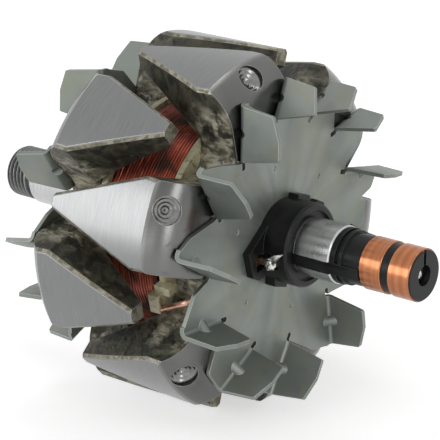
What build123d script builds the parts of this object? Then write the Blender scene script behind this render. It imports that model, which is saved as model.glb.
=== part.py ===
from build123d import *
import math
import os

# Claw-pole rotor of a vehicle generator, in millimetres.
# X runs along the shaft towards the slip rings and Z is up. The origin is on the shaft axis,
# midway between the two pole halves. Angles are about X, in degrees, from +Y towards +Z.

# Pole halves
claw_count = 6
pole_radius = 53.4            # turned outside of the claws
claw_tip_reach = 14.9         # how far a claw tip passes the middle of the rotor
claw_wide_at = 15.3           # where a claw is widest
turned_edge_at = 19.2         # end of the turned band, start of the forged shoulder
pole_face_at = 26.2           # outer face of a pole half
pole_inner_face_at = 13.2     # face that carries the bobbin and the core
claw_tip_half_width = 2.3
claw_half_width = 13.1
arm_half_width = 12.9
claw_tip_thickness = 5.0
claw_root_depth = 15.8        # from the turned outside to the inner side of a claw's root
shoulder_radius = 12.4        # round of the forged shoulder
valley_round = 6.0            # round at the bottom of the valley between two claws
claw_bevel = 0.9
slip_side_claw_angle = 42.8   # one claw of the slip ring side half

# Balance drillings on three shoulders, as angles from the first claw
balance_hole_angles = (58.4, 114.2, 175.9)
balance_hole_radius = 4.0
balance_hole_depth = 1.8
balance_hole_at = 23.3
balance_point_angle = 62.0
balance_point_flat = 0.2

# Shaft
shaft_half_length = 76.3
journal_radius = 8.5
journal_start = 37.7
pole_seat_radius = 9.4
collar_seat_radius = 8.1
spacer_seat_radius = 9.0
thread_radius = 8.0
thread_length = 10.5
thread_relief = 2.0
shaft_chamfer = 1.0
edge_break = 0.5
spigot_radius = 4.4
socket_across_flats = 8.0
socket_depth = 9.0

# Drive end spacer
spacer_radius = 12.0
spacer_length = 6.5
spacer_chamfer = 0.8

# Core, bobbin and winding
core_depth = 10.0             # from the claws' root in to the core's outside
bobbin_clearance = 0.2
bobbin_wall = 1.3
bobbin_flange = 2.0
flange_clearance = 1.4        # between the bobbin's rim and the claws' root
winding_margin = 1.0          # how far the winding stays below the rim
winding_round = 0.8
post_width = 3.6
post_span = 5.7
post_rise = 4.1               # how far a post stands out of the bobbin's rim
post_side_step = 3.85         # how far the post sits beside the lead's own radius
hook_span = 2.6
hook_reach = 3.4              # how far the hook stands out of the bobbin's end
hook_rise = 2.6
hook_side_step = -0.3

# Fans
sheet = 1.2
fan_radius = 47.2
hub_hole_radius = 11.0
blade_rake = 22.0             # slope of the bend line against the radius
blade_corner_round = 0.8
bend_radius = 1.0
relief_width = 1.5            # slot at the inner end of each bend
relief_length = 2.6
relief_round = 0.6
blade_end_gap = 0.35          # between a blade's inner end and the plate beside it
blank_gap = 2.9               # gap that the bent blade leaves beside its root
shoulder_round = 2.2
petal_tip_round = 0.7
petal_root_round = 0.4
gusset_radius = 1.6           # round rib pressed into the middle of each bend
gusset_reach = 1.9            # how far the rib runs out on the plate and up the blade
gusset_dent = 0.8
gusset_length = 12.0          # of the round tool, longer than any rib it presses
weld_count = 6
weld_circle_radius = 22.3
first_weld_angle = 40.5
weld_dot_radius = 0.8
weld_dot_depth = 0.3

# Kinds of blade: length along the bend, then the free corners from the outer end inwards, as
# the distance from the inner end and the height over the plate
long_blade = (16.5, ((14.9, 10.5), (7.9, 12.6), (2.3, 12.6)))
short_blade = (12.5, ((11.4, 9.6), (3.7, 11.9)))

# Petals of each fan: angle of the blade's outer root, step and depth of its shoulder, how far
# the blade leans from square, positive away from its petal, and its kind
slip_fan_petals = (
    (59.6, 5.0, 4.7, 3, short_blade), (37.8, 9.7, 4.0, 0, short_blade),
    (10.5, 5.0, 3.2, 0, long_blade), (-23.0, 12.7, 7.0, -2, long_blade),
    (-59.8, 9.0, 4.6, 0, long_blade), (-97.2, 9.0, 3.2, 6, long_blade),
    (-128.0, 9.0, 1.2, 4, long_blade), (-161.2, 10.6, 7.4, 6, long_blade),
    (-189.9, 5.5, 4.6, -2, long_blade), (-218.7, 7.0, 7.2, -6, long_blade),
    (-248.6, 7.0, 6.2, -3, long_blade), (-273.2, 8.0, 5.7, -9, short_blade),
)
plain_petal_angle = 1.1       # the wide sector of the slip ring side fan has no blade
plain_petal_span = 13.0
plain_petal_depth = 6.4       # below the fan's radius
plain_petal_notch = 2.4
drive_fan_petals = (
    (42.0, 7.0, 5.7, 2, long_blade), (12.0, 7.0, 5.2, 2, short_blade),
    (-17.0, 8.0, 4.2, 2, long_blade), (-45.0, 9.0, 3.2, 2, long_blade),
    (-74.0, 8.0, 5.2, 2, short_blade), (-103.0, 9.0, 4.2, 2, long_blade),
    (-133.4, 6.0, 4.2, 7, long_blade), (-158.7, 6.0, 3.7, 10, long_blade),
    (-182.1, 7.0, 5.7, 10, long_blade), (-213.3, 9.0, 5.2, 8, long_blade),
    (-250.8, 9.0, 4.2, 12, long_blade), (-285.7, 8.0, 4.2, 8, long_blade),
)

# Lead collar
lead_angle = 192.8            # the first lead; the second is opposite
collar_radius = 12.3
collar_chamfer = 0.6
collar_base_thickness = 2.4
collar_lip_radius = 10.4
collar_lip_depth = 1.0
wing_points = ((11.9, -72.8), (18.6, -14.0), (18.0, 10.3), (16.2, 19.1), (11.0, 26.8))
foot_points = ((11.0, 28.2), (14.2, 42.6), (13.6, 65.7), (11.0, 66.7))
foot_thickness = 3.6
pocket_width = 5.0
pocket_reach = 15.8
pocket_end = 34.4

# Slip ring carrier, measured from the shaft's end
carrier_length = 26.5
end_cap = 2.8                 # between the spigot's end and the shaft's end
outer_ring_gap = 0.4          # from the outer ring to the end
ring_gap = 2.5
channel_width = 3.8
channel_depth = 3.6
channel_clearance = 0.05
carrier_radius = 8.2
carrier_neck_radius = 7.3
carrier_flange = 1.7
carrier_rib_gap = 1.0
carrier_rib = 1.1
ring_radius = 7.65
ring_thickness = 1.4
ring_length = 7.0
ring_chamfer = 0.2
end_hole_radius = 3.0
end_slot_width = 1.1
end_slot_depth = 0.9

# Leads
lead_wire_radius = 0.95
lead_groove_width = 3.0
lead_groove_depth = 2.9
lead_start_rise = 3.0         # of the lead's start over the bobbin's rim
lead_start_step = 5.6
lead_turn_rise = 3.6
lead_rise_radius = 13.0
lead_groove_bend = 3.0
lead_rise_bend = 1.6
sleeve_wall = 0.4
sleeve_start_depth = 3.2      # below the bobbin's rim
sleeve_end_radius = 16.5
bar_width = 1.8
bar_thickness = 0.9
bar_foot_length = 2.4
terminal_at = 32.3
terminal_thickness = 0.7
terminal_width = 3.0
terminal_reach = 14.6
terminal_bead_radius = 1.7

# Sizes that follow from the ones above
fan_face_at = pole_face_at + sheet
collar_end = journal_start
journal_end = shaft_half_length - carrier_length
spigot_end = shaft_half_length - end_cap
outer_ring_at = shaft_half_length - outer_ring_gap - ring_length
inner_ring_at = outer_ring_at - ring_gap - ring_length
claw_root_radius = pole_radius - claw_root_depth
core_radius = claw_root_radius - core_depth
bobbin_flange_radius = claw_root_radius - flange_clearance
winding_radius = bobbin_flange_radius - winding_margin
post_top_radius = bobbin_flange_radius + post_rise
hook_top_radius = bobbin_flange_radius + hook_rise
lead_start_radius = bobbin_flange_radius + lead_start_rise
lead_turn_radius = bobbin_flange_radius + lead_turn_rise
sleeve_start_radius = bobbin_flange_radius - sleeve_start_depth
bobbin_inner = core_radius + bobbin_clearance
bobbin_barrel = bobbin_inner + bobbin_wall
channel_floor = journal_radius - channel_depth
ring_bore = ring_radius - ring_thickness
bar_floor = channel_floor + channel_clearance
lead_wire_at = pole_face_at - lead_groove_depth / 2
lead_room_radius = lead_start_radius - lead_wire_radius - channel_clearance
lead_room_width = 2 * (lead_start_step + lead_wire_radius + channel_clearance)


def polar(radius, angle):
    """Point of the YZ plane."""
    turn = math.radians(angle)
    return radius * math.cos(turn), radius * math.sin(turn)


def cross_plane(x):
    """Plane square to the shaft, whose own axes are Y and Z."""
    return Plane(origin=(x, 0, 0), x_dir=(0, 1, 0), z_dir=(1, 0, 0))


def about_shaft(solid, angle):
    return Rot(X=angle) * solid


def turned(points):
    """Solid turned about the shaft from (x, radius) points."""
    return revolve(make_face(Plane.XZ * Polyline(*points, close=True)), axis=Axis.X)


def tube(x_start, x_end, outer, inner=0.0):
    """Plain ring or disc about the shaft."""
    solid = extrude(cross_plane(x_start) * Circle(outer), x_end - x_start)
    if inner:
        solid -= extrude(cross_plane(x_start) * Circle(inner), x_end - x_start)
    return solid


def bar_block(angle, x_start, x_end, floor, top, width, side_step=0.0):
    """Straight block beside the shaft axis, from one radius to another."""
    block = Box(x_end - x_start, top - floor, width)
    placed = Pos((x_start + x_end) / 2, (top + floor) / 2, side_step) * block
    return about_shaft(placed, angle)


def shoulder_centre():
    """Centre of the shoulder's round in the half section."""
    x = pole_face_at - shoulder_radius
    rise = math.sqrt(shoulder_radius ** 2 - (turned_edge_at - x) ** 2)
    return x, pole_radius - rise


def claw_profile():
    """Half section of one pole half as if it were a full ring of claws."""
    x, radius = shoulder_centre()
    half_turn = math.asin((pole_radius - radius) / shoulder_radius) / 2
    middle = (x + shoulder_radius * math.cos(half_turn),
              radius + shoulder_radius * math.sin(half_turn))
    turned_band = Line((-claw_tip_reach, pole_radius), (turned_edge_at, pole_radius))
    shoulder = ThreePointArc((turned_edge_at, pole_radius), middle, (pole_face_at, radius))
    rest = Polyline((pole_face_at, radius), (pole_face_at, pole_seat_radius),
                    (pole_inner_face_at, pole_seat_radius), (pole_inner_face_at, claw_root_radius),
                    (-claw_tip_reach, pole_radius - claw_tip_thickness),
                    (-claw_tip_reach, pole_radius))
    return make_face(Plane.XZ * (turned_band + shoulder + rest))


def claw_blank():
    """Plan outline of one claw at angle zero, carried inward as far as the core."""
    outline = Polyline((-claw_tip_reach, -claw_tip_half_width), (claw_wide_at, -claw_half_width),
                       (turned_edge_at, -arm_half_width), (pole_face_at, -arm_half_width),
                       (pole_face_at, arm_half_width), (turned_edge_at, arm_half_width),
                       (claw_wide_at, claw_half_width), (-claw_tip_reach, claw_tip_half_width),
                       close=True)
    plan = Plane(origin=(0, core_radius, 0), x_dir=(1, 0, 0), z_dir=(0, 1, 0))
    return extrude(plan * make_face(outline), pole_radius - core_radius + 1)


def one_claw():
    """Claw at angle zero, with bevelled edges along its turned face."""
    claw = revolve(claw_profile(), axis=Axis.X) & claw_blank()
    outer = [e for e in claw.edges() if math.hypot(e.center().Y, e.center().Z) > pole_radius - 1.5]
    flanks = [e for e in outer if e.geom_type == GeomType.ELLIPSE]
    return chamfer(flanks, claw_bevel)


def pole_half():
    """One forged pole half: a disc with six claws, its first claw at angle zero."""
    half_pitch = math.radians(180 / claw_count)
    claw = one_claw()
    valley_centre = (arm_half_width + valley_round) / math.sin(half_pitch)
    disc_radius = math.hypot(valley_centre - valley_round * math.sin(half_pitch),
                             valley_round * math.cos(half_pitch))
    solid = tube(pole_inner_face_at, pole_face_at, disc_radius, pole_seat_radius)
    for number in range(claw_count):
        centre = Pos(*polar(valley_centre, (number + 0.5) * 360 / claw_count))
        valley = cross_plane(pole_inner_face_at) * centre * Circle(valley_round)
        solid -= extrude(valley, pole_face_at - pole_inner_face_at)
    for number in range(claw_count):
        solid += about_shaft(claw, number * 360 / claw_count)
    return solid


def balance_hole(angle):
    """Drilling with a conical point, square to the forged shoulder."""
    x, radius = shoulder_centre()
    slope = math.acos((balance_hole_at - x) / shoulder_radius)
    height = radius + shoulder_radius * math.sin(slope)
    outward = (math.cos(slope), *polar(math.sin(slope), angle))
    drill = Plane(origin=(balance_hole_at, *polar(height, angle)), z_dir=outward)
    bottom = drill.offset(-balance_hole_depth)
    point = bottom.offset(-balance_hole_radius / math.tan(math.radians(balance_point_angle)))
    bore = extrude(bottom * Circle(balance_hole_radius), 4 * balance_hole_depth)
    return bore + loft([bottom * Circle(balance_hole_radius), point * Circle(balance_point_flat)])


def slip_side_pole_half(half):
    """Pole half with the drillings and a radial groove for each lead."""
    solid = about_shaft(half, slip_side_claw_angle)
    for angle in balance_hole_angles:
        solid -= balance_hole(slip_side_claw_angle + angle)
    groove_floor = pole_face_at - lead_groove_depth
    groove_start = lead_rise_radius - lead_groove_width / 2
    groove_end = lead_turn_radius + lead_groove_width / 2
    for side in (0, 180):
        solid -= bar_block(lead_angle + side, groove_floor, pole_face_at,
                           groove_start, groove_end, lead_groove_width)
        solid -= bar_block(lead_angle + side, pole_inner_face_at, pole_face_at, lead_room_radius,
                           groove_end, lead_room_width)
    return solid


def drive_side_pole_half(half):
    return about_shaft(mirror(half, Plane.YZ), slip_side_claw_angle - 180 / claw_count)


def make_shaft():
    """Stepped shaft with lead channels, slip ring spigot, thread blank and hexagon socket."""
    end = shaft_half_length
    thread_end = -end + thread_length
    relief_start = thread_end - thread_relief
    relief_radius = thread_radius - shaft_chamfer
    bearing_start = -fan_face_at - spacer_length
    shaft = turned([
        (-end, 0), (-end, thread_radius - shaft_chamfer), (-end + shaft_chamfer, thread_radius),
        (relief_start, thread_radius), (relief_start, relief_radius), (thread_end, relief_radius),
        (thread_end, journal_radius - edge_break), (thread_end + edge_break, journal_radius),
        (bearing_start, journal_radius), (bearing_start, spacer_seat_radius),
        (-fan_face_at, spacer_seat_radius), (-fan_face_at, pole_seat_radius),
        (fan_face_at, pole_seat_radius), (fan_face_at, collar_seat_radius),
        (collar_end, collar_seat_radius), (collar_end, journal_radius),
        (journal_end - edge_break, journal_radius), (journal_end, journal_radius - edge_break),
        (journal_end, spigot_radius), (spigot_end - edge_break, spigot_radius),
        (spigot_end, spigot_radius - edge_break), (spigot_end, 0)])
    hexagon = RegularPolygon(socket_across_flats / 2, 6, major_radius=False)
    shaft -= extrude(cross_plane(-end) * hexagon, socket_depth)
    for side in (0, 180):
        shaft -= bar_block(lead_angle + side, fan_face_at, journal_end, channel_floor,
                           journal_radius + channel_depth, channel_width + 2 * channel_clearance)
    return shaft


def spacer_ring():
    """Distance ring between the drive side fan and the drive end bearing."""
    far = -fan_face_at - spacer_length
    return turned([(-fan_face_at, spacer_seat_radius), (-fan_face_at, spacer_radius),
                   (far + spacer_chamfer, spacer_radius), (far, spacer_radius - spacer_chamfer),
                   (far, spacer_seat_radius)])


def bobbin():
    """Moulded spool with two posts that hold the lead wires."""
    end = pole_inner_face_at
    cheek = end - bobbin_flange
    rim = bobbin_flange_radius
    spool = turned([(-end, bobbin_inner), (-end, rim), (-cheek, rim), (-cheek, bobbin_barrel),
                    (cheek, bobbin_barrel), (cheek, rim), (end, rim), (end, bobbin_inner)])
    for side in (0, 180):
        spool += bar_block(lead_angle + side, end - post_width, end, winding_radius,
                           post_top_radius, post_span, post_side_step)
        spool += bar_block(lead_angle + side, cheek, end + hook_reach, winding_radius,
                           hook_top_radius, hook_span, hook_side_step)
    return spool


def field_winding():
    """Enamelled wire wound on the bobbin, as one ring with rounded outer corners."""
    end = pole_inner_face_at - bobbin_flange
    ring = tube(-end, end, winding_radius, bobbin_barrel)
    rims = [e for e in ring.edges().filter_by(GeomType.CIRCLE) if e.radius > bobbin_barrel + 1]
    ring = fillet(rims, winding_round)
    for side in (0, 180):
        ring -= bar_block(lead_angle + side, end - post_width, end, winding_radius - winding_round,
                          post_top_radius, 2 * post_span, post_side_step)
    return ring


def petal_rows(petals):
    """Each petal as angle, outer root, inner root, shoulder, slope of the bend, lean and blade."""
    rows = []
    for angle, step, depth, lean, blade in petals:
        slope = angle - blade_rake
        along = polar(blade[0], slope)
        outer = polar(fan_radius, angle)
        inner = (outer[0] - along[0], outer[1] - along[1])
        shoulder = polar(fan_radius - depth, angle - step)
        rows.append((angle, outer, inner, shoulder, slope, lean, blade))
    return rows


def plain_petal_row():
    """The sector of the slip ring side fan that has no blade, in the same form."""
    start = plain_petal_angle
    radius = fan_radius - plain_petal_depth
    notch = polar(radius - plain_petal_notch, start + plain_petal_notch)
    shoulder = polar(radius, start - plain_petal_span)
    return start, polar(radius, start), notch, shoulder, None, None, None


def fan_plate(rows):
    """Flat star of petals, with the relief slot and gap beside the root of each blade."""
    points = []
    rounds = []
    for angle, outer, inner, shoulder, slope, lean, blade in sorted(rows, key=lambda row: row[0]):
        points += [shoulder, outer]
        rounds += [shoulder_round, petal_tip_round]
        if blade is None:
            points.append(inner)
            rounds.append(petal_root_round)
            continue
        for back, aside, corner_round in ((relief_length, 0, relief_round),
                                          (relief_length, relief_width, relief_round),
                                          (blade_end_gap, relief_width, 0),
                                          (blade_end_gap, blank_gap, petal_root_round)):
            step = polar(aside, slope + 90)
            inward = polar(back, slope)
            points.append((inner[0] + step[0] - inward[0], inner[1] + step[1] - inward[1]))
            rounds.append(corner_round)
    outline = FilletPolyline(*points, radius=rounds, close=True)
    return extrude(cross_plane(pole_face_at) * make_face(outline), sheet)


def blade_section(turn, height):
    """Section of a bend of that angle and the flat beyond it, from the plate's back face."""
    outside = bend_radius + sheet
    flat = (height - bend_radius * (1 - math.cos(turn))) / math.sin(turn)
    reach = Vector(flat * math.cos(turn), flat * math.sin(turn))

    def bent(radius, share):
        part = turn * share
        return Vector(radius * math.sin(part), outside - radius * math.cos(part))

    back = ThreePointArc(bent(outside, 0), bent(outside, 0.5), bent(outside, 1))
    front = ThreePointArc(bent(bend_radius, 1), bent(bend_radius, 0.5), bent(bend_radius, 0))
    tip = Polyline(bent(outside, 1), bent(outside, 1) + reach, bent(bend_radius, 1) + reach,
                   bent(bend_radius, 1))
    root = Polyline((0, sheet), (-sheet, sheet), (-sheet, 0), (0, 0))
    return make_face(back + tip + front + root)


def fan_blade(inner, slope, lean, kind):
    """One blade with its bend and pressed gusset, cut to its outline."""
    length, free_corners = kind
    height = max(corner[1] for corner in free_corners)
    turn = math.radians(90 - lean)
    along = polar(1, slope)
    across = polar(1, slope + 90)
    origin = (pole_face_at, *inner)
    section_plane = Plane(origin=origin, x_dir=(0, *across), z_dir=(0, *along))
    blade = extrude(section_plane * blade_section(turn, height), length)
    side_plane = Plane(origin=origin, x_dir=(0, *along), z_dir=(0, -across[0], -across[1]))
    free = [(distance, sheet + rise) for distance, rise in free_corners]
    rounds = [0, 0] + [blade_corner_round] * len(free) + [0]
    outline = FilletPolyline((0, 0), (length, 0), *free, (0, sheet), radius=rounds, close=True)
    blade &= extrude(side_plane * make_face(outline), 2 * height, both=True)
    middle = section_plane.offset(length / 2)
    return blade + gusset(section_plane, middle, turn, kind) - gusset_hollow(middle, turn)


def gusset_line(turn):
    """Crest of the pressed rib, as a start point and a unit direction in the bend's section."""
    foot = Vector(-gusset_reach, sheet)
    flat_start = Vector(bend_radius * math.sin(turn), sheet + bend_radius * (1 - math.cos(turn)))
    head = flat_start + Vector(math.cos(turn), math.sin(turn)) * gusset_reach
    return foot, (head - foot).normalized()


def gusset(section_plane, middle, turn, kind):
    """Round rib across the inside of the bend, its ends buried in the sheet."""
    foot, along = gusset_line(turn)
    axis_start = foot + Vector(along.Y, -along.X) * gusset_radius - along * gusset_length
    start = middle.from_local_coords(axis_start)
    direction = middle.x_dir * along.X + middle.y_dir * along.Y
    rib = extrude(Plane(origin=start, z_dir=direction) * Circle(gusset_radius), 3 * gusset_length)
    within = [(-gusset_length, sheet / 2), (0, sheet / 2)]
    for share in (0.5, 1):
        middle_radius = bend_radius + sheet / 2
        within.append((middle_radius * math.sin(turn * share),
                       bend_radius + sheet - middle_radius * math.cos(turn * share)))
    top = Vector(within[-1]) + Vector(math.cos(turn), math.sin(turn)) * gusset_length / 2
    within += [(top.X, top.Y), (-gusset_length, top.Y)]
    return rib & extrude(section_plane * make_face(Polyline(*within, close=True)), kind[0])


def gusset_hollow(middle, turn):
    """Groove that the same pressing leaves on the outside of the bend."""
    along = gusset_line(turn)[1]
    outside = bend_radius + sheet
    depth = outside + gusset_radius - gusset_dent
    centre = Vector(along.Y * depth, outside - along.X * depth) - along * gusset_length
    direction = middle.x_dir * along.X + middle.y_dir * along.Y
    line = Plane(origin=middle.from_local_coords(centre), z_dir=direction)
    return extrude(line * Circle(gusset_radius), 2 * gusset_length)


def fan(rows):
    """Stamped fan on the +X side: plate, blades, weld dots and hub opening."""
    solid = fan_plate(rows)
    for angle, outer, inner, shoulder, slope, lean, blade in rows:
        if blade:
            solid += fan_blade(inner, slope, lean, blade)
    for number in range(weld_count):
        spot = polar(weld_circle_radius, first_weld_angle + number * 360 / weld_count)
        dot = cross_plane(fan_face_at) * Pos(*spot) * Circle(weld_dot_radius)
        solid -= extrude(dot, -weld_dot_depth)
    solid -= tube(pole_face_at, fan_face_at, hub_hole_radius)
    return solid


def slip_side_fan():
    """Fan with one plain sector, and a notch at the hub for each lead."""
    solid = fan(petal_rows(slip_fan_petals) + [plain_petal_row()])
    notch_end = lead_rise_radius + lead_groove_width / 2
    for side in (0, 180):
        solid -= bar_block(lead_angle + side, pole_face_at, fan_face_at, hub_hole_radius - 1,
                           notch_end, lead_groove_width)
    return solid


def drive_side_fan():
    return mirror(fan(petal_rows(drive_fan_petals)), Plane.YZ)


def collar_plan(points, angle, thickness):
    """Flat lobe of the collar from (radius, angle) points beside a lead."""
    corners = [polar(radius, angle + step) for radius, step in points]
    outline = Polyline((0, 0), *corners, close=True)
    return extrude(cross_plane(fan_face_at) * make_face(outline), thickness)


def lead_collar():
    """Insulating collar at the fan hub, with a wing, a foot and a pocket for each lead."""
    barrel = turned([(fan_face_at, 0), (fan_face_at, collar_radius),
                     (collar_end - collar_chamfer, collar_radius),
                     (collar_end, collar_radius - collar_chamfer), (collar_end, 0)])
    for side in (0, 180):
        barrel += collar_plan(wing_points, lead_angle + side, collar_base_thickness)
        barrel += collar_plan(foot_points, lead_angle + side, foot_thickness)
    barrel -= tube(fan_face_at, collar_end, collar_seat_radius)
    barrel -= tube(collar_end - collar_lip_depth, collar_end, collar_lip_radius)
    for side in (0, 180):
        barrel -= bar_block(lead_angle + side, fan_face_at, pocket_end, channel_floor,
                            pocket_reach, pocket_width)
    return barrel


def slip_ring_carrier():
    """Moulded carrier: ribbed neck, ring seats, end cap and the strips along the journal."""
    flange_end = journal_end + carrier_flange
    rib_start = flange_end + carrier_rib_gap
    rib_end = rib_start + carrier_rib
    inner_ring_end = inner_ring_at + ring_length
    outer_ring_end = outer_ring_at + ring_length
    end = shaft_half_length
    neck = carrier_neck_radius
    body = turned([
        (journal_end, spigot_radius), (journal_end, carrier_radius), (flange_end, carrier_radius),
        (flange_end, neck), (rib_start, neck), (rib_start, carrier_radius - edge_break / 2),
        (rib_end, carrier_radius - edge_break / 2), (rib_end, neck), (inner_ring_at, neck),
        (inner_ring_at, ring_bore), (inner_ring_end, ring_bore), (inner_ring_end, neck),
        (outer_ring_at, neck), (outer_ring_at, ring_bore), (outer_ring_end, ring_bore),
        (outer_ring_end, neck), (end - ring_chamfer, neck), (end, neck - ring_chamfer),
        (end, end_hole_radius), (spigot_end, end_hole_radius), (spigot_end, spigot_radius)])
    for side in (0, 180):
        strip = bar_block(lead_angle + side, pocket_end, inner_ring_at, bar_floor, carrier_radius + 1,
                          channel_width)
        body += strip & tube(pocket_end, collar_end, collar_seat_radius)
        body += strip & tube(collar_end, inner_ring_at, carrier_radius)
    for side in (0, 180):
        body -= conductor_bar(side)
    slot = bar_block(90, end - end_slot_depth, end, end_hole_radius - 1, ring_radius, end_slot_width)
    return body - slot


def conductor_bar(side):
    """Copper bar that runs in the shaft's channel from its terminal to its own ring."""
    ring_at = inner_ring_at if side == 0 else outer_ring_at
    end = ring_at + bar_foot_length + 1
    start = terminal_at + terminal_thickness
    bar = bar_block(lead_angle + side, start, end, bar_floor, bar_floor + bar_thickness, bar_width)
    foot = bar_block(lead_angle + side, end - bar_foot_length, end, bar_floor, ring_radius, bar_width)
    return bar + (foot & tube(start, end, ring_bore))


def slip_ring(start):
    end = start + ring_length
    return turned([(start, ring_bore), (start, ring_radius - ring_chamfer),
                   (start + ring_chamfer, ring_radius), (end - ring_chamfer, ring_radius),
                   (end, ring_radius - ring_chamfer), (end, ring_bore)])


def lead_path():
    """Centre line of a lead at angle zero, from behind the post's face to its terminal."""
    face = Vector(pole_inner_face_at, lead_start_radius, lead_start_step)
    turn = Vector(lead_wire_at, lead_turn_radius, 0)
    start = face - (turn - face).normalized() * 2 * lead_wire_radius
    end = terminal_at + terminal_thickness + edge_break
    return FilletPolyline(start, turn, (lead_wire_at, lead_rise_radius, 0),
                          (end, lead_rise_radius, 0), radius=[lead_groove_bend, lead_rise_bend])


def lead_wire(side):
    """Stiff wire that leaves the post's face and ends in its terminal."""
    path = lead_path()
    section = Plane(origin=path @ 0, z_dir=path % 0) * Circle(lead_wire_radius)
    wire = sweep(section, path=path) & tube(pole_inner_face_at, pocket_end, pole_radius)
    return about_shaft(wire, lead_angle + side)


def lead_sleeve(side):
    """Insulating sleeve on the lead, in the groove of the pole half."""
    length = sleeve_start_radius - sleeve_end_radius
    middle = Plane(origin=(lead_wire_at, sleeve_end_radius, 0), z_dir=(0, 1, 0))
    sleeve = extrude(middle * Circle(lead_wire_radius + sleeve_wall), length)
    sleeve -= extrude(middle * Circle(lead_wire_radius), length)
    return about_shaft(sleeve, lead_angle + side)


def terminal(side):
    """Tinned strap from the bar out to the lead, with a soldered bead round the wire."""
    strap = Box(terminal_thickness, terminal_reach - bar_floor, terminal_width)
    clip = Pos(terminal_at + terminal_thickness / 2, (terminal_reach + bar_floor) / 2, 0) * strap
    clip += Pos(terminal_at, lead_rise_radius, 0) * Sphere(terminal_bead_radius)
    wire_line = Plane(origin=(terminal_at - 5, lead_rise_radius, 0), z_dir=(1, 0, 0))
    clip -= extrude(wire_line * Circle(lead_wire_radius), 10)
    return about_shaft(clip, lead_angle + side)


def all_parts():
    half = pole_half()
    return {
        "shaft": make_shaft(),
        "drive_end_spacer": spacer_ring(),
        "slip_ring_side_pole_half": slip_side_pole_half(half),
        "drive_side_pole_half": drive_side_pole_half(half),
        "pole_core": tube(-pole_inner_face_at, pole_inner_face_at, core_radius, pole_seat_radius),
        "coil_bobbin": bobbin(),
        "field_winding": field_winding(),
        "slip_ring_side_fan": slip_side_fan(),
        "drive_side_fan": drive_side_fan(),
        "lead_collar": lead_collar(),
        "slip_ring_carrier": slip_ring_carrier(),
        "inner_slip_ring": slip_ring(inner_ring_at),
        "outer_slip_ring": slip_ring(outer_ring_at),
        "inner_ring_bar": conductor_bar(0),
        "outer_ring_bar": conductor_bar(180),
        "first_lead_wire": lead_wire(0),
        "second_lead_wire": lead_wire(180),
        "first_lead_sleeve": lead_sleeve(0),
        "second_lead_sleeve": lead_sleeve(180),
        "first_lead_terminal": terminal(0),
        "second_lead_terminal": terminal(180),
    }


os.makedirs("parts", exist_ok=True)
for name, solid in all_parts().items():
    export_step(solid, f"parts/{name}.step")
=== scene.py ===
import math
import random

import bmesh
import bpy
from mathutils import Matrix, Vector, noise


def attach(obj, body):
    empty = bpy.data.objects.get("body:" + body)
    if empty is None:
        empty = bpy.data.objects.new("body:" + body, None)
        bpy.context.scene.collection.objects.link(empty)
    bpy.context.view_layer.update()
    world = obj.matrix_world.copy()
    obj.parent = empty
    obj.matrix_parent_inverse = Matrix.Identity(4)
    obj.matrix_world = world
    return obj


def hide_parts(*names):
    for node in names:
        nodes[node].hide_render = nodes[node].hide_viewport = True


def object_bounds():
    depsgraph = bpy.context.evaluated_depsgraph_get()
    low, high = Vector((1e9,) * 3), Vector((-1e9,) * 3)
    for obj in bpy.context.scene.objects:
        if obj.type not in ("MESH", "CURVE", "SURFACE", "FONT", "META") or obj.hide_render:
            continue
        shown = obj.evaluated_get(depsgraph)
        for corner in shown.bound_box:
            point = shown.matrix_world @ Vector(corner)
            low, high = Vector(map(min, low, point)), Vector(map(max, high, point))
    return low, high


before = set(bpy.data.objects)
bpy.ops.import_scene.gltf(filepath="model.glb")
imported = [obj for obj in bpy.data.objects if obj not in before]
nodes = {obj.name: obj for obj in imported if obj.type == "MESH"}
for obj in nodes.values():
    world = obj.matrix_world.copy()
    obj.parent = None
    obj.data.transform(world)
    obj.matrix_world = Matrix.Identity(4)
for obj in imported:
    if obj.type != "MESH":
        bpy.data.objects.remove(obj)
cad_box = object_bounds()
scene = bpy.context.scene
MM = 0.001
rng = random.Random(7)

# Camera of the photograph, looking at the rotor from its slip ring end
azimuth = math.radians(39.01)
elevation = math.radians(19.03)
camera_distance = 625.67
focal_pixels = 2116.93
picture_pixels = 440
aim_right = 3.23
aim_up = -0.36

# Sizes of the part that the looks follow, in millimetres and degrees
pole_radius = 53.4
turned_edge_at = 19.2
shoulder_radius = 12.4
pole_face_at = 26.2
hole_radius = 4.0
hole_depth = 1.8
hole_at = 23.3
hole_point_angle = 62.0
hole_angles = (101.2, 157.0, 218.7)
thread_radius = 8.0
thread_depth = 0.85
thread_pitch = 1.5
thread_from = -76.3
thread_to = -67.8
thread_chamfer = 1.0
thread_wall_over = 6.9
winding_radius = 35.2
winding_half = 11.2
wire_pitch = 1.02
lead_angle = 192.8
lead_radius = 13.0
post_start = 9.6
terminal_at = 32.3
end_solder_at = 73.9

# Strengths of the white around the object, where one is white
white_for_light = 0.45
white_when_seen = 1.0
floor_glow = 0.55


def make_camera():
    back = Vector((math.sin(azimuth) * math.cos(elevation),
                   -math.cos(azimuth) * math.cos(elevation), math.sin(elevation)))
    right = (-back).cross(Vector((0, 0, 1))).normalized()
    up = right.cross(-back)
    data = bpy.data.cameras.new("camera")
    data.sensor_width = 36
    data.lens = focal_pixels / picture_pixels * data.sensor_width
    data.clip_start = 0.05
    camera = bpy.data.objects.new("camera", data)
    scene.collection.objects.link(camera)
    place = (back * camera_distance + right * aim_right + up * aim_up) * MM
    turn = Matrix((right, up, back)).transposed().to_4x4()
    camera.matrix_world = Matrix.Translation(place) @ turn
    scene.camera = camera


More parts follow.
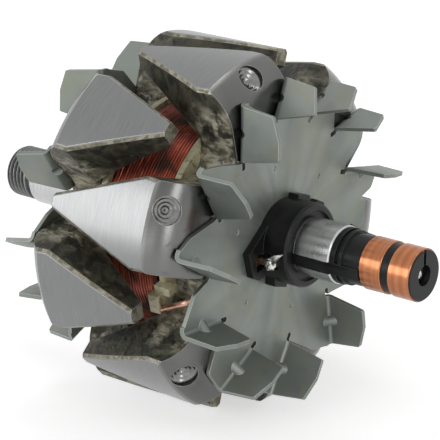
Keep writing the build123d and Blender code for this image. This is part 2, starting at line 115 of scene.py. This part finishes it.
class Shade:
    """Small helper that builds one node material. Lengths are in millimetres."""

    def __init__(self, name, metallic=1.0):
        self.material = bpy.data.materials.new(name)
        self.material.use_nodes = True
        self.tree = self.material.node_tree
        self.nodes = self.tree.nodes
        self.bsdf = self.nodes["Principled BSDF"]
        self.bsdf.inputs["Metallic"].default_value = metallic
        self.bsdf.inputs["IOR"].default_value = 1.5
        metres = self.nodes.new("ShaderNodeTexCoord").outputs["Object"]
        scaled = self.nodes.new("ShaderNodeVectorMath")
        scaled.operation = "SCALE"
        scaled.inputs["Scale"].default_value = 1 / MM
        self.tree.links.new(metres, scaled.inputs[0])
        self.place = scaled.outputs[0]
        self.x, self.y, self.z = self.split(self.place)
        self.radius = self.math("SQRT", self.plus(self.times(self.y, self.y),
                                                  self.times(self.z, self.z)))
        self.angle = self.math("ARCTAN2", self.z, self.y)

    def link(self, value, socket):
        if isinstance(value, bpy.types.NodeSocket):
            self.tree.links.new(value, socket)
        elif isinstance(value, tuple) and len(value) == 3 and socket.type == "RGBA":
            socket.default_value = (*value, 1)
        else:
            socket.default_value = value

    def math(self, operation, a, b=0.0):
        node = self.nodes.new("ShaderNodeMath")
        node.operation = operation
        self.link(a, node.inputs[0])
        self.link(b, node.inputs[1])
        return node.outputs[0]

    def times(self, a, b):
        return self.math("MULTIPLY", a, b)

    def plus(self, a, b):
        return self.math("ADD", a, b)

    def rest(self, share):
        return self.math("SUBTRACT", 1.0, share)

    def vector(self, x, y, z):
        node = self.nodes.new("ShaderNodeCombineXYZ")
        for value, socket in zip((x, y, z), node.inputs):
            self.link(value, socket)
        return node.outputs[0]

    def split(self, vector):
        node = self.nodes.new("ShaderNodeSeparateXYZ")
        self.link(vector, node.inputs[0])
        return node.outputs

    def noise(self, size, detail=3.0, where=None, rough=0.5, warp=0.0):
        """Noise whose blotches are about that many millimetres wide."""
        node = self.nodes.new("ShaderNodeTexNoise")
        self.link(where or self.place, node.inputs["Vector"])
        node.inputs["Scale"].default_value = 1 / size
        node.inputs["Detail"].default_value = detail
        node.inputs["Roughness"].default_value = rough
        node.inputs["Distortion"].default_value = warp
        return node.outputs["Fac"]

    def ramp(self, value, low, high, first=0.0, last=1.0):
        """Smooth step from the first number at low to the last one at high."""
        node = self.nodes.new("ShaderNodeMapRange")
        node.interpolation_type = "SMOOTHSTEP"
        self.link(value, node.inputs["Value"])
        for name, number in (("From Min", low), ("From Max", high), ("To Min", first),
                             ("To Max", last)):
            self.link(number, node.inputs[name])
        return node.outputs["Result"]

    def blend(self, share, first, last, kind="FLOAT"):
        node = self.nodes.new("ShaderNodeMix")
        node.data_type = kind
        self.link(share, node.inputs["Factor"])
        self.link(first, node.inputs["A"])
        self.link(last, node.inputs["B"])
        return node.outputs["Result"]

    def mix(self, share, first, last):
        return self.blend(share, first, last, "RGBA")

    def round_edges(self, width):
        node = self.nodes.new("ShaderNodeBevel")
        node.samples = 6
        node.inputs["Radius"].default_value = width * MM
        return node.outputs["Normal"]

    def edge_wear(self, rounded):
        """One near an edge and zero elsewhere."""
        dot = self.nodes.new("ShaderNodeVectorMath")
        dot.operation = "DOT_PRODUCT"
        self.link(rounded, dot.inputs[0])
        self.link(self.nodes.new("ShaderNodeNewGeometry").outputs["Normal"], dot.inputs[1])
        return self.ramp(dot.outputs["Value"], 0.999, 0.93)

    def bump(self, height, depth, normal=None):
        node = self.nodes.new("ShaderNodeBump")
        self.link(height, node.inputs["Height"])
        node.inputs["Distance"].default_value = depth * MM
        if normal is not None:
            self.link(normal, node.inputs["Normal"])
        return node.outputs["Normal"]

    def spun(self, along, about):
        """Place stretched along the shaft and about it, with no seam."""
        return self.vector(self.times(self.x, along),
                           self.times(self.math("COSINE", self.angle), about),
                           self.times(self.math("SINE", self.angle), about))

    def facing(self):
        """How far the surface looks away from the shaft, and how far out along it."""
        geometry = self.nodes.new("ShaderNodeNewGeometry").outputs["Normal"]
        along, side, up = self.split(geometry)
        out = self.plus(self.times(side, self.y), self.times(up, self.z))
        out = self.math("DIVIDE", out, self.radius)
        end = self.times(along, self.math("SIGN", self.x))
        return out, end

    def finish(self, colour, rough, normal):
        self.link(colour, self.bsdf.inputs["Base Color"])
        self.link(rough, self.bsdf.inputs["Roughness"])
        if normal is not None:
            self.link(normal, self.bsdf.inputs["Normal"])
        return self.material


def pole_steel():
    """Turned claw faces, smooth forged shoulders, and dark varnished flanks with crusts."""
    s = Shade("forged_steel")
    from_middle = s.math("ABSOLUTE", s.x)
    cloud = s.noise(22.0, 2.0)
    blotch = s.noise(3.0, 4.0, warp=0.6)
    grain = s.noise(0.5, 3.0)
    lathe = s.noise(1.0, 4.0, s.spun(9.0, 8.0), 0.6)

    # Turned faces, and forged shoulders with a rim where the turning runs out
    turned = s.times(s.ramp(s.radius, pole_radius - 0.35, pole_radius - 0.1),
                     s.ramp(from_middle, turned_edge_at + 0.1, turned_edge_at - 0.1))
    bright = s.mix(s.ramp(lathe, 0.3, 0.7), (0.185, 0.188, 0.192), (0.235, 0.238, 0.235))
    dull = s.mix(s.ramp(cloud, 0.35, 0.65), (0.115, 0.118, 0.115), (0.160, 0.160, 0.155))
    dull = s.mix(s.ramp(blotch, 0.62, 0.75), dull, (0.10, 0.10, 0.09))
    rim = s.ramp(s.plus(from_middle, s.times(cloud, 0.8)),
                 turned_edge_at + 1.8, turned_edge_at + 0.6)
    dull = s.mix(rim, dull, (0.23, 0.23, 0.225))
    metal = s.mix(turned, dull, bright)

    # Tan varnish on the chamfers between the turned faces and the flanks
    out, end = s.facing()
    chamfer = s.times(s.ramp(from_middle, turned_edge_at + 0.3, turned_edge_at - 0.1),
                      s.rest(turned))
    chamfer = s.times(chamfer, s.ramp(out, 0.93, 0.85))
    tan = s.mix(s.ramp(s.noise(2.4, 5.0, warp=0.8), 0.4, 0.62), (0.115, 0.105, 0.070),
                (0.30, 0.285, 0.215))
    metal = s.mix(s.times(chamfer, 0.85), metal, tan)

    # Dark streaked varnish on the flanks
    skin = s.ramp(s.math("MAXIMUM", out, end), 0.30, 0.62)
    soot = s.mix(s.ramp(s.noise(5.0, 4.0, warp=1.0), 0.38, 0.66), (0.016, 0.017, 0.014),
                 (0.085, 0.082, 0.055))
    streak = s.vector(s.times(s.x, 0.25), s.y, s.z)
    soot = s.mix(s.ramp(s.noise(2.2, 5.0, streak, 0.65), 0.56, 0.74), soot, (0.20, 0.185, 0.115))

    # Pale crust deep in the valleys and on the walls near the claws' roots
    web = s.times(s.ramp(s.radius, 51.0, 43.0), s.ramp(from_middle, 7.0, 15.0))
    web = s.times(web, s.rest(skin))
    deep = s.math("MAXIMUM", s.ramp(s.radius, 44.0, 36.0), web)
    crust = s.times(s.ramp(s.noise(6.0, 5.0, rough=0.6, warp=0.3), 0.40, 0.56), deep)
    crust = s.times(crust, s.ramp(from_middle, pole_face_at - 0.2, pole_face_at - 1.2))
    ridge = s.noise(1.0, 5.0, s.vector(s.times(s.x, 0.22), s.times(s.y, 0.5),
                                       s.times(s.z, 0.5)), 0.6, 0.4)
    crust_colour = s.mix(s.ramp(ridge, 0.38, 0.62), (0.18, 0.160, 0.105), (0.58, 0.55, 0.43))

    rounded = s.round_edges(0.35)
    base = s.mix(skin, soot, metal)
    base = s.mix(crust, base, crust_colour)
    base = s.mix(s.times(s.edge_wear(rounded), 0.6), base, (0.36, 0.355, 0.32))
    rough = s.blend(skin, s.ramp(blotch, 0.3, 0.7, 0.38, 0.62), s.blend(turned, 0.24, 0.26))
    rough = s.blend(chamfer, rough, 0.5)
    rough = s.blend(crust, rough, 0.5)
    metallic = s.times(s.blend(skin, 0.35, 1.0), s.rest(crust))
    s.link(metallic, s.bsdf.inputs["Metallic"])
    fine = s.blend(skin, s.noise(1.3, 5.0, rough=0.6), s.blend(turned, grain, lathe))
    fine = s.times(fine, s.blend(skin, 1.0, s.blend(turned, 0.05, 0.035)))
    height = s.plus(fine, s.times(crust, s.plus(ridge, 0.6)))
    return s.finish(base, rough, s.bump(height, 0.3, rounded))


def ground_steel():
    """Ground shaft with fine circular marks, and a dark oily thread, darker towards the bottom of
    its grooves.
    """
    s = Shade("ground_steel")
    marks = s.noise(1.0, 3.0, s.spun(14.0, 1.5))
    thread = s.ramp(s.x, thread_to + 0.8, thread_to - 0.7)
    rounded = s.round_edges(0.15)
    metal = s.mix(s.ramp(marks, 0.3, 0.7), (0.42, 0.425, 0.43), (0.58, 0.58, 0.575))
    # Thread colour darker towards the bottom of its grooves than on its crests
    groove = s.ramp(s.radius, thread_radius - thread_depth, thread_radius - 0.1)
    dark = s.mix(groove, (0.035, 0.037, 0.036), (0.20, 0.205, 0.20))
    base = s.mix(thread, metal, dark)
    base = s.mix(s.times(s.edge_wear(rounded), 0.6), base, (0.62, 0.62, 0.61))
    rough = s.blend(thread, s.ramp(s.noise(6.0), 0.3, 0.7, 0.25, 0.34), 0.38)
    return s.finish(base, rough, s.bump(marks, 0.002, rounded))


def plated_sheet():
    """Dull zinc plating with soft radial bands of painted reflection, also raised in the bump,
    and bright cut edges.
    """
    s = Shade("plated_sheet", 0.75)
    spokes = s.vector(s.times(s.math("COSINE", s.angle), 4.0),
                      s.times(s.math("SINE", s.angle), 4.0),
                      s.times(s.radius, 0.03))
    # Soft radial bands: a painted reflection in the colour, and also part of the bump
    bands = s.noise(1.0, 1.5, spokes)
    cloud = s.noise(9.0, 3.0)
    tint = s.noise(8.0, 2.0, warp=0.5)
    speck = s.noise(0.35, 2.0)
    rounded = s.round_edges(0.22)
    # Painted reflection: the radial bands lighten and darken the plating colour
    base = s.mix(s.ramp(bands, 0.30, 0.70), (0.205, 0.228, 0.210), (0.265, 0.287, 0.266))
    base = s.mix(s.times(s.ramp(tint, 0.50, 0.68), 0.4), base, (0.255, 0.265, 0.190))
    base = s.mix(s.times(s.ramp(cloud, 0.60, 0.74), 0.25), base, (0.14, 0.15, 0.14))
    base = s.mix(s.times(s.edge_wear(rounded), 0.7), base, (0.62, 0.65, 0.62))
    rough = s.ramp(cloud, 0.3, 0.7, 0.42, 0.54)
    height = s.plus(s.times(bands, 0.25), s.times(speck, 0.02))
    height = s.plus(height, s.times(cloud, 0.5))
    return s.finish(base, rough, s.bump(height, 0.5, rounded))


def black_moulding():
    s = Shade("black_moulding", 0.0)
    s.bsdf.inputs["Specular IOR Level"].default_value = 0.22
    cloud = s.noise(7.0, 4.0, warp=0.4)
    grain = s.noise(0.22, 2.0)
    rounded = s.round_edges(0.3)
    base = s.mix(s.ramp(cloud, 0.35, 0.7), (0.005, 0.0055, 0.0055), (0.013, 0.014, 0.0135))
    base = s.mix(s.times(s.edge_wear(rounded), 0.5), base, (0.075, 0.078, 0.075))
    rough = s.ramp(cloud, 0.3, 0.7, 0.28, 0.42)
    return s.finish(base, rough, s.bump(grain, 0.02, rounded))


def ring_copper():
    """Turned copper with the bands that brushes leave."""
    s = Shade("ring_copper")
    lines = s.noise(0.16, 3.0, s.vector(s.x, 0.0, 0.0))
    track = s.noise(1.3, 2.0, s.vector(s.x, 0.0, 0.0))
    stain = s.noise(3.0, 4.0, s.vector(s.times(s.x, 1.5), s.y, s.z))
    rounded = s.round_edges(0.15)
    base = s.mix(s.ramp(track, 0.35, 0.65), (0.36, 0.135, 0.062), (0.46, 0.185, 0.090))
    base = s.mix(s.times(s.ramp(stain, 0.55, 0.7), 0.25), base, (0.24, 0.085, 0.042))
    base = s.mix(s.times(s.edge_wear(rounded), 0.5), base, (0.70, 0.40, 0.26))
    rough = s.ramp(lines, 0.3, 0.7, 0.20, 0.27)
    return s.finish(base, rough, s.bump(lines, 0.0025, rounded))


def lead_copper():
    s = Shade("lead_copper", 0.85)
    cloud = s.noise(2.0, 3.0, warp=0.5)
    base = s.mix(s.ramp(cloud, 0.35, 0.65), (0.42, 0.22, 0.15), (0.62, 0.38, 0.28))
    rough = s.ramp(cloud, 0.3, 0.7, 0.25, 0.4)
    return s.finish(base, rough, s.bump(s.noise(0.6, 3.0), 0.03))


def enamelled_wire():
    """Dark red enamel with painted shade in the grooves between the turns, lightest on their
    crowns, under smoky varnish.
    """
    s = Shade("enamelled_wire", 0.55)
    # One on the crowns of the turns; below them, in the grooves between the turns, the near-black
    # colour is painted shade
    crown = s.ramp(s.radius, winding_radius - 0.62, winding_radius - 0.12)
    strand = s.noise(1.0, 3.0, s.vector(s.times(s.x, 0.9), s.times(s.angle, 6.0), 0.0))
    smoke = s.noise(9.0, 3.0, warp=0.6)
    base = s.mix(crown, (0.030, 0.008, 0.005), (0.46, 0.085, 0.042))
    base = s.mix(s.times(s.ramp(strand, 0.45, 0.65), 0.7), base, (0.24, 0.045, 0.028))
    base = s.mix(s.times(s.ramp(smoke, 0.45, 0.62), 0.85), base, (0.040, 0.026, 0.018))
    rough = s.ramp(smoke, 0.3, 0.7, 0.24, 0.45)
    return s.finish(base, rough, s.bump(s.noise(0.5, 3.0), 0.03))


def bobbin_moulding():
    """Cream moulding, stained by varnish."""
    s = Shade("bobbin_moulding", 0.0)
    cloud = s.noise(4.0, 4.0, warp=0.6)
    drip = s.noise(1.8, 4.0, warp=1.0)
    base = s.mix(s.ramp(cloud, 0.35, 0.68), (0.50, 0.46, 0.29), (0.62, 0.58, 0.41))
    base = s.mix(s.times(s.ramp(drip, 0.55, 0.68), 0.8), base, (0.20, 0.13, 0.05))
    rough = s.ramp(drip, 0.4, 0.7, 0.5, 0.3)
    return s.finish(base, rough, s.bump(drip, 0.08, s.round_edges(0.4)))


def sleeve_weave():
    s = Shade("sleeve", 0.0)
    spin = s.times(s.angle, 60.0)
    rise = s.times(s.radius, 9.0)
    weave = s.times(s.math("SINE", s.plus(rise, spin)),
                    s.math("SINE", s.math("SUBTRACT", rise, spin)))
    base = s.mix(s.ramp(weave, -0.6, 0.6), (0.20, 0.16, 0.10), (0.45, 0.40, 0.28))
    return s.finish(base, 0.7, s.bump(weave, 0.05))


def tinned_metal():
    s = Shade("tinned_metal")
    cloud = s.noise(1.2, 4.0, warp=0.8)
    base = s.mix(s.ramp(cloud, 0.35, 0.65), (0.42, 0.42, 0.40), (0.72, 0.72, 0.70))
    rough = s.ramp(cloud, 0.3, 0.7, 0.16, 0.34)
    return s.finish(base, rough, s.bump(cloud, 0.12, s.round_edges(0.15)))


def drilled_steel():
    s = Shade("drilled_steel")
    cloud = s.noise(1.4, 3.0)
    base = s.mix(s.ramp(cloud, 0.3, 0.7), (0.17, 0.17, 0.17), (0.24, 0.24, 0.235))
    return s.finish(base, s.ramp(cloud, 0.3, 0.7, 0.16, 0.26), None)


def dress(node, material):
    data = nodes[node].data
    data.materials.clear()
    data.materials.append(material)


def polar(x, radius, angle):
    """Point in metres from a place on the shaft, a radius and an angle from +Y towards +Z."""
    turn = math.radians(angle)
    return Vector((x * MM, radius * math.cos(turn) * MM, radius * math.sin(turn) * MM))


def new_piece(name, verts, faces, material, slot, *replaced):
    mesh = bpy.data.meshes.new(name)
    mesh.from_pydata([tuple(v) for v in verts], [], faces)
    form = bmesh.new()
    form.from_mesh(mesh)
    bmesh.ops.recalc_face_normals(form, faces=form.faces)
    form.to_mesh(mesh)
    form.free()
    mesh.shade_smooth()
    mesh.set_sharp_from_angle(angle=math.radians(60))
    mesh.materials.append(material)
    piece = bpy.data.objects.new(name, mesh)
    scene.collection.objects.link(piece)
    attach(piece, "root")
    if replaced:
        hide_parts(*replaced)


def grid_faces(rows, columns, start=0, loop=False):
    """Quads between rings of points, the last ring joined to the first in a loop."""
    faces = []
    for row in range(rows if loop else rows - 1):
        low = start + row * columns
        high = start + (row + 1) % rows * columns
        for column in range(columns):
            after = (column + 1) % columns
            faces.append((low + column, high + column, high + after, low + after))
    return faces


def is_thread_wall(face):
    """Whether a face of the CAD shaft is on the plain wall that the cut thread takes over."""
    centre = face.calc_center_median() / MM
    flat = abs(face.normal.x) > 0.9
    beside = thread_from < centre.x < thread_to
    return beside and not flat and math.hypot(centre.y, centre.z) > thread_wall_over


def threaded_shaft():
    """The shaft with a cut thread in place of its plain threaded wall."""
    rows, columns = 90, 120
    run_out = 0.6
    groove_half = 0.46
    flat_bottom = 0.92
    mesh = nodes["shaft"].data.copy()
    form = bmesh.new()
    form.from_mesh(mesh)
    doomed = [face for face in form.faces if is_thread_wall(face)]
    bmesh.ops.delete(form, geom=doomed, context="FACES")
    points = []
    for row in range(rows + 1):
        x = thread_from + (thread_to - thread_from) * row / rows
        fade = min(1, (thread_to - x) / run_out)
        for column in range(columns):
            phase = (x / thread_pitch - column / columns) % 1
            cut = max(0, 1 - abs(phase - 0.5) / groove_half) * thread_depth * fade
            crest = thread_radius - min(cut, thread_depth * flat_bottom)
            limit = thread_radius - thread_chamfer + (x - thread_from)
            angle = 360 * column / columns
            points.append(form.verts.new(polar(x, min(crest, limit), angle)))
    for face in grid_faces(rows + 1, columns):
        form.faces.new([points[i] for i in face]).smooth = True
    bmesh.ops.recalc_face_normals(form, faces=form.faces)
    form.to_mesh(mesh)
    form.free()
    mesh.materials.clear()
    mesh.materials.append(steel_ground)
    mesh.set_sharp_from_angle(angle=math.radians(35))
    piece = bpy.data.objects.new("threaded_shaft", mesh)
    scene.collection.objects.link(piece)
    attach(piece, "root")
    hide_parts("shaft")


def wound_wire():
    """Outer layer of the coil, turn beside turn, a little uneven."""
    columns = 240
    per_turn = 8
    crown_height = 0.5
    crown_foot = winding_radius - 0.55
    rounded_end = 0.7
    most_sway = 0.22
    lead_gap_angle = 14
    lead_gap_from = post_start - 0.4
    lead_gap_radius = winding_radius - 1.0
    turns = int(2 * winding_half / wire_pitch)
    rows = turns * per_turn
    lift = [rng.uniform(-0.16, 0.0) for turn in range(turns + 3)]
    verts = []
    for row in range(rows + 1):
        x = -winding_half + 2 * winding_half * row / rows
        edge = min(1.0, (winding_half - abs(x)) / rounded_end)
        for column in range(columns):
            share = column / columns
            angle = 360 * share
            sway = most_sway * noise.noise(Vector((math.cos(share * math.tau) * 2,
                                                   math.sin(share * math.tau) * 2, x * 0.2)))
            place = (x + sway + winding_half) / wire_pitch + share
            turn = int(place)
            across = 2 * (place - turn) - 1
            crown = crown_height * math.sqrt(max(0, 1 - across * across))
            drop = crown_height * (1 - math.sqrt(edge))
            radius = crown_foot + crown + lift[turn] - drop
            for side in (0, 180):
                away = abs((angle - lead_angle - side + 180) % 360 - 180)
                if away < lead_gap_angle and x > lead_gap_from:
                    radius = min(radius, lead_gap_radius)
            verts.append(polar(x, radius, angle))
    barrel = min(math.hypot(v.co.y, v.co.z) for v in nodes["field_winding"].data.vertices) / MM
    for x in (winding_half, -winding_half):
        verts += [polar(x, barrel, 360 * column / columns) for column in range(columns)]
    new_piece("wound_wire", verts, grid_faces(rows + 3, columns, loop=True), enamelled_wire(),
              "enamelled_wire", "field_winding")


def balance_drilling(number, angle):
    """Ringed wall and point of one balance drilling, just inside the bored surface, with a
    back that lies in the steel."""
    steps, columns = 60, 64
    ring_height = 0.05
    ring_waves = 3.5
    tip_radius = 0.02
    cone_lift = 0.10
    wall = 0.3
    back = 0.5
    x = pole_face_at - shoulder_radius
    rise = math.sqrt(shoulder_radius ** 2 - (turned_edge_at - x) ** 2)
    slope = math.acos((hole_at - x) / shoulder_radius)
    height = pole_radius - rise + shoulder_radius * math.sin(slope)
    outward = polar(math.cos(slope), math.sin(slope), angle).normalized()
    centre = polar(hole_at, height, angle)
    side = outward.orthogonal().normalized()
    other = outward.cross(side)
    cone = hole_radius / math.tan(math.radians(hole_point_angle))
    profile = [(hole_radius - 0.03, -0.9), (hole_radius - 0.05, -hole_depth + cone_lift)]
    for step in range(steps + 1):
        share = step / steps
        ripple = ring_height * math.sin(share * math.tau * ring_waves)
        radius = (hole_radius - 0.08) * (1 - share) + tip_radius * share
        profile.append((radius, -hole_depth - cone * share + cone_lift + ripple))
    profile += [(tip_radius, -hole_depth - cone - back), (hole_radius + wall, -hole_depth - back),
                (hole_radius + wall, -1.2)]
    verts = []
    for radius, depth in profile:
        for column in range(columns):
            turn = math.tau * column / columns
            reach = side * math.cos(turn) + other * math.sin(turn)
            verts.append(centre + (reach * radius + outward * depth) * MM)
    new_piece(f"balance_drilling_{number}", verts, grid_faces(len(profile), columns, loop=True),
              steel_drilled, "forged_steel")


def solder_lump(centre, half_size, seed):
    """Points and faces of an uneven lump about a centre, its half sizes in millimetres."""
    form = bmesh.new()
    bmesh.ops.create_icosphere(form, subdivisions=4, radius=1.0)
    verts = []
    for vert in form.verts:
        p = vert.co
        lump = 1 + 0.24 * noise.noise(p * 1.6 + Vector((seed, 3, 1))) + 0.08 * noise.noise(p * 5)
        verts.append(centre + Vector([a * b for a, b in zip(p, half_size)]) * lump * MM)
    faces = [[v.index for v in f.verts] for f in form.faces]
    form.free()
    return verts, faces


def solder_joint(name, side):
    """Lump of solder over the end of a lead, with a tinned tab bent over the collar."""
    joint_at = terminal_at + 1.0
    tab_length = 4.3
    tab_radius = 13.7
    tab_rise = 0.7
    tab_half_angle = 7.0
    thickness = 0.3
    verts, faces = solder_lump(polar(joint_at, lead_radius, lead_angle + side),
                               (1.35, 1.75, 1.75), side)
    start = len(verts)
    rows, columns = 24, 9
    for row in range(rows):
        share = row / (rows - 1)
        x = joint_at + tab_length * share
        radius = tab_radius - 0.5 * share + tab_rise * math.sin(share * math.pi)
        middle = lead_angle + side - 4.0 - 13.0 * share
        bulge = math.sqrt(max(0.02, 1 - (2 * share - 0.9) ** 2 * 0.8))
        half = tab_half_angle * bulge * (1.1 - 0.9 * share)
        across = [2 * column / (columns - 1) - 1 for column in range(columns)]
        verts += [polar(x, radius + thickness * a * a, middle + half * a) for a in across]
        verts += [polar(x, radius - thickness + thickness * a * a, middle + half * a)
                  for a in reversed(across)]
    faces += grid_faces(rows, 2 * columns, start)
    faces.append(tuple(range(start, start + 2 * columns)))
    faces.append(tuple(range(len(verts) - 2 * columns, len(verts))))
    new_piece(name, verts, faces, tinned, "tinned_metal")


def area_light(name, place, size, power):
    """Lamp that shines at the middle of the part."""
    data = bpy.data.lights.new(name, "AREA")
    data.shape = "RECTANGLE"
    data.size, data.size_y = size
    data.energy = power
    lamp = bpy.data.objects.new(name, data)
    scene.collection.objects.link(lamp)
    lamp.location = place
    lamp.rotation_euler = (-Vector(place)).to_track_quat("-Z", "Y").to_euler()


def seen_rays(tree):
    """One for camera, glossy and transmission rays."""
    path = tree.nodes.new("ShaderNodeLightPath")
    total = path.outputs["Is Camera Ray"]
    for name in ("Is Glossy Ray", "Is Transmission Ray"):
        add = tree.nodes.new("ShaderNodeMath")
        add.operation = "MAXIMUM"
        tree.links.new(total, add.inputs[0])
        tree.links.new(path.outputs[name], add.inputs[1])
        total = add.outputs[0]
    return total


def make_world():
    world = bpy.data.worlds.new("studio")
    scene.world = world
    world.use_nodes = True
    tree = world.node_tree
    background = tree.nodes["Background"]
    background.inputs["Color"].default_value = (1, 1, 1, 1)
    strength = tree.nodes.new("ShaderNodeMapRange")
    strength.inputs["To Min"].default_value = white_for_light
    strength.inputs["To Max"].default_value = white_when_seen
    tree.links.new(seen_rays(tree), strength.inputs["Value"])
    tree.links.new(strength.outputs[0], background.inputs["Strength"])


def make_floor():
    mesh = bpy.data.meshes.new("floor")
    form = bmesh.new()
    bmesh.ops.create_grid(form, x_segments=2, y_segments=2, size=3)
    form.to_mesh(mesh)
    form.free()
    floor = bpy.data.objects.new("floor", mesh)
    floor.location = (0, 0, cad_box[0][2])
    scene.collection.objects.link(floor)
    material = bpy.data.materials.new("floor")
    material.use_nodes = True
    tree = material.node_tree
    bsdf = tree.nodes["Principled BSDF"]
    bsdf.inputs["Base Color"].default_value = (0.9, 0.9, 0.9, 1)
    bsdf.inputs["Roughness"].default_value = 0.9
    bsdf.inputs["Emission Color"].default_value = (1, 1, 1, 1)
    glow = tree.nodes.new("ShaderNodeMath")
    glow.operation = "MULTIPLY"
    glow.inputs[1].default_value = floor_glow
    tree.links.new(seen_rays(tree), glow.inputs[0])
    tree.links.new(glow.outputs[0], bsdf.inputs["Emission Strength"])
    mesh.materials.append(material)


make_camera()
make_world()
make_floor()
area_light("key", (-0.62, -0.80, 0.24), (0.60, 0.50), 2.7)
area_light("right", (1.0, -0.30, 0.20), (0.30, 0.5), 2.0)
area_light("top", (-0.1, 0.25, 1.1), (0.5, 0.3), 1.2)
area_light("low_front", (0.50, -1.0, 0.05), (0.6, 0.16), 0.35)

steel_ground = ground_steel()
steel_drilled = drilled_steel()
tinned = tinned_metal()
for names, material in (
        (("slip_ring_side_pole_half", "drive_side_pole_half", "pole_core"), pole_steel()),
        (("shaft", "drive_end_spacer"), steel_ground),
        (("slip_ring_side_fan", "drive_side_fan"), plated_sheet()),
        (("lead_collar", "slip_ring_carrier"), black_moulding()),
        (("inner_slip_ring", "outer_slip_ring", "inner_ring_bar", "outer_ring_bar"),
         ring_copper()),
        (("first_lead_wire", "second_lead_wire"), lead_copper()),
        (("coil_bobbin", "field_winding"), bobbin_moulding()),
        (("first_lead_sleeve", "second_lead_sleeve"), sleeve_weave()),
        (("first_lead_terminal", "second_lead_terminal"), tinned)):
    for name in names:
        dress(name, material)

threaded_shaft()
wound_wire()
for number, angle in enumerate(hole_angles, 1):
    balance_drilling(number, angle)
solder_joint("first_solder_joint", 0)
solder_joint("second_solder_joint", 180)
new_piece("end_hole_solder", *solder_lump(polar(end_solder_at, 0, 0), (0.9, 2.2, 2.2), 5), tinned,
          "tinned_metal")

scene.view_settings.view_transform = "Standard"
